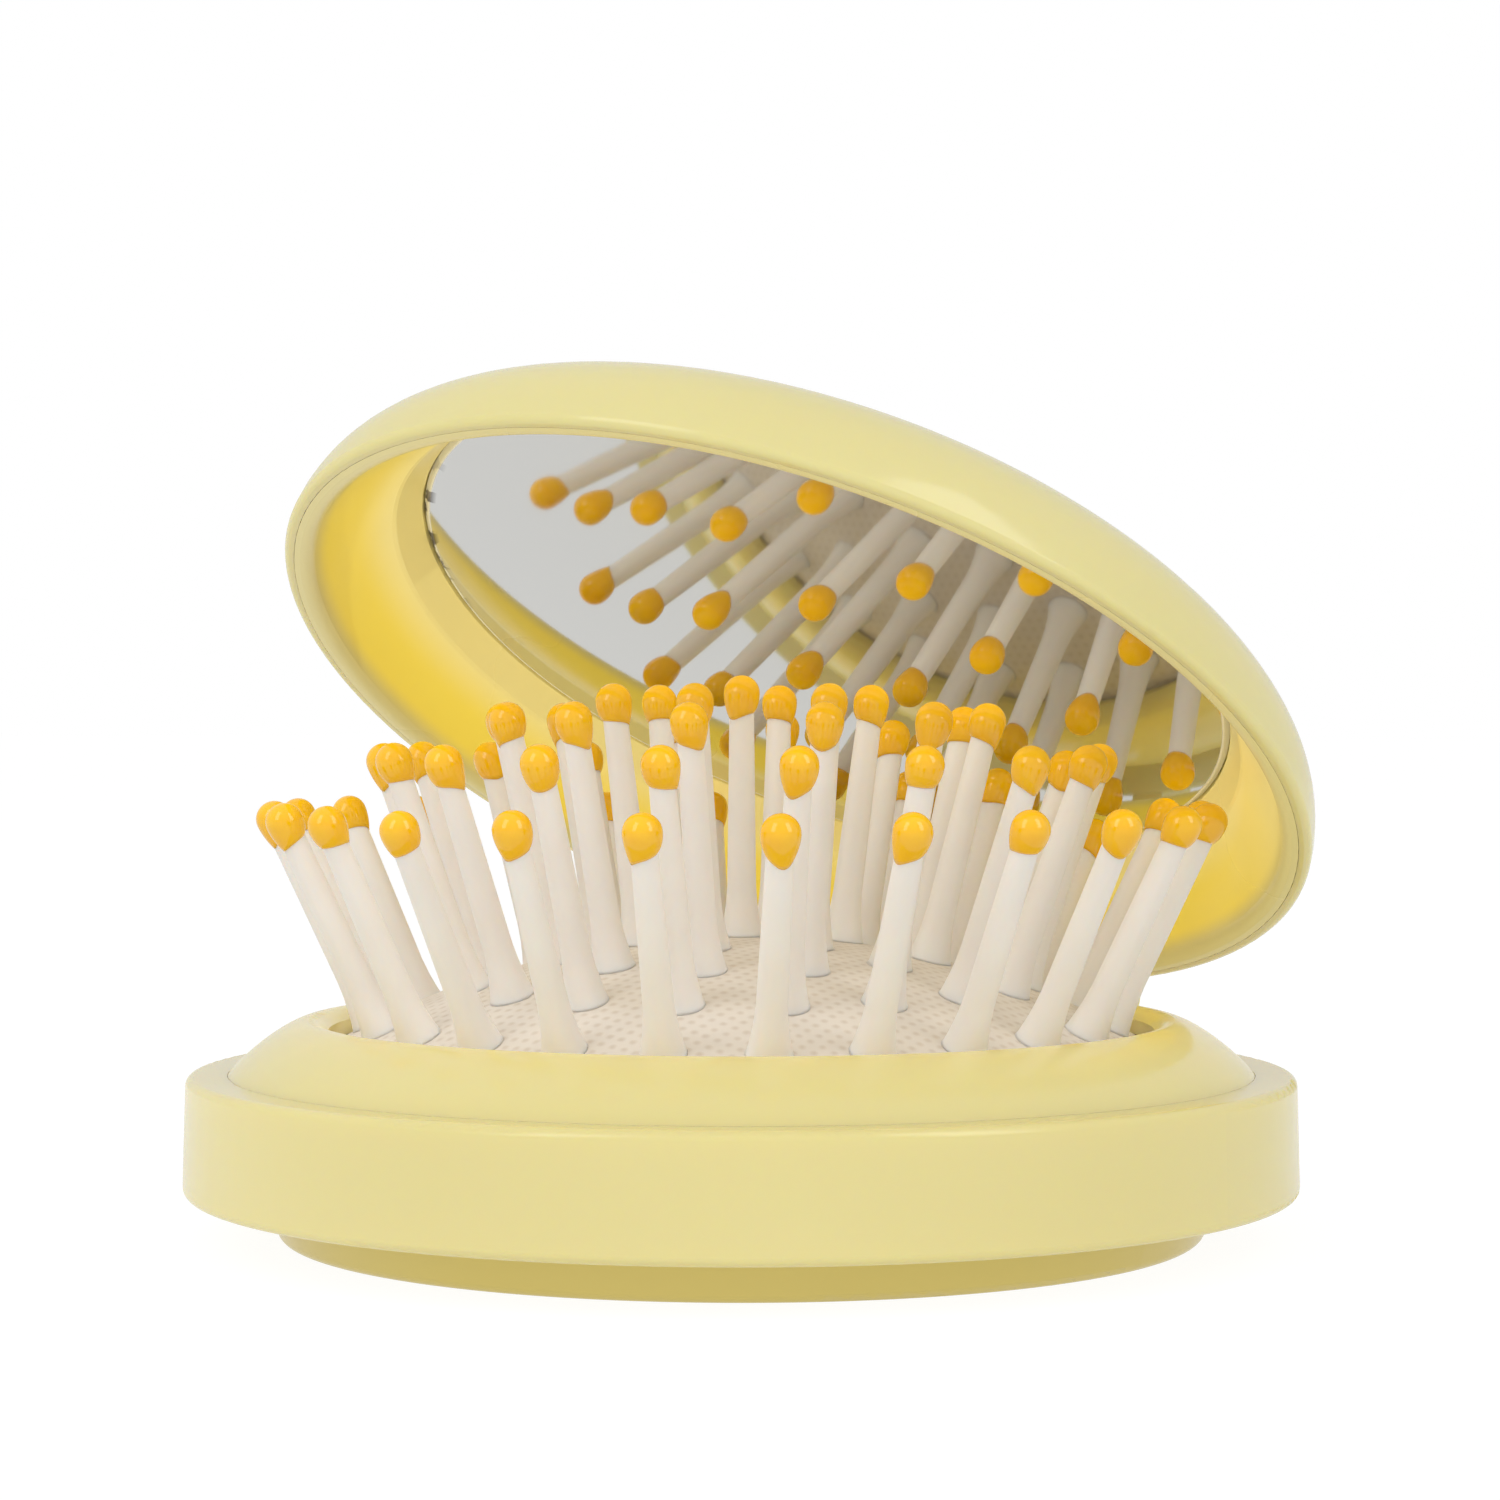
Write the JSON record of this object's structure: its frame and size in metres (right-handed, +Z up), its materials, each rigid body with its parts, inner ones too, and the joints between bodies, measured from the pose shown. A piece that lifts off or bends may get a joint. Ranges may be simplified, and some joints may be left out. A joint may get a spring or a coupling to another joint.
{
  "type": "folding hairbrush with mirror",
  "caption": "Round pocket hairbrush: splayed ball-tipped pins on a domed cushion, with a hinged lid that holds a mirror.",
  "frame": {"origin": "centre of the flat underside that the brush stands on", "axes": "+Z up along the base's axis, +Y towards the hinge, +X along the hinge pin"},
  "size_m": [0.0754, 0.0827, 0.0576],
  "materials": {
    "body_plastic": "smooth, glossy pastel yellow",
    "inner_plastic": "plain moulded",
    "cushion_rubber": "matt, fine mesh texture",
    "pin_nylon": "smooth, slightly translucent off-white",
    "tip_coating": "glossy dipped orange yellow",
    "mirror": "mirror",
    "adhesive": "thin double-sided tape",
    "hinge_steel": "plain steel"
  },
  "bodies": {
    "base": {"base_ring": "body_plastic", "top_frame": "body_plastic", "bottom_cup": "body_plastic", "cushion_ring": "inner_plastic", "cushion": "cushion_rubber"},
    "hinge_pin": {"hinge_pin": "hinge_steel"},
    "lid": {"lid_cover": "body_plastic", "lid_liner": "body_plastic", "mirror_glass": "mirror", "mirror_tape": "adhesive"},
    "outer_row": {"outer_pins": "pin_nylon", "outer_tips": "tip_coating"},
    "second_row": {"second_pins": "pin_nylon", "second_tips": "tip_coating"},
    "third_row": {"third_pins": "pin_nylon", "third_tips": "tip_coating"},
    "inner_row": {"inner_pins": "pin_nylon", "inner_tips": "tip_coating"},
    "centre_row": {"centre_pin": "pin_nylon", "centre_tip": "tip_coating"}
  },
  "joints": [
    {"name": "lid_close", "type": "hinge", "parent": "base", "child": "hinge_pin", "pos_m": [0, 0.0429, 0.01366], "axis": [-1, 0, 0], "range_deg": [-31.45, 0]},
    {"name": "lid_open", "type": "hinge", "parent": "hinge_pin", "child": "lid", "pos_m": [0, 0.0429, 0.01366], "axis": [-1, 0, 0], "range_deg": [0, 110]},
    {"name": "outer_sink", "type": "slide", "parent": "base", "child": "outer_row", "axis": [0, 0, 1], "range_m": [-0.013, 0], "deforming": ["outer_pins", "outer_tips"]},
    {"name": "second_sink", "type": "slide", "parent": "base", "child": "second_row", "axis": [0, 0, 1], "range_m": [-0.01505, 0]},
    {"name": "third_sink", "type": "slide", "parent": "base", "child": "third_row", "axis": [0, 0, 1], "range_m": [-0.01755, 0]},
    {"name": "inner_sink", "type": "slide", "parent": "base", "child": "inner_row", "axis": [0, 0, 1], "range_m": [-0.01875, 0]},
    {"name": "centre_sink", "type": "slide", "parent": "base", "child": "centre_row", "axis": [0, 0, 1], "range_m": [-0.01935, 0], "deforming": ["cushion"]}
  ],
  "couplings": [
    {"joint": "lid_close", "follows": "outer_sink", "rad_per_m": 42.21},
    {"joint": "second_sink", "follows": "outer_sink", "ratio": 1.1538},
    {"joint": "third_sink", "follows": "outer_sink", "ratio": 1.3462},
    {"joint": "inner_sink", "follows": "outer_sink", "ratio": 1.4385},
    {"joint": "centre_sink", "follows": "outer_sink", "ratio": 1.4846}
  ]
}
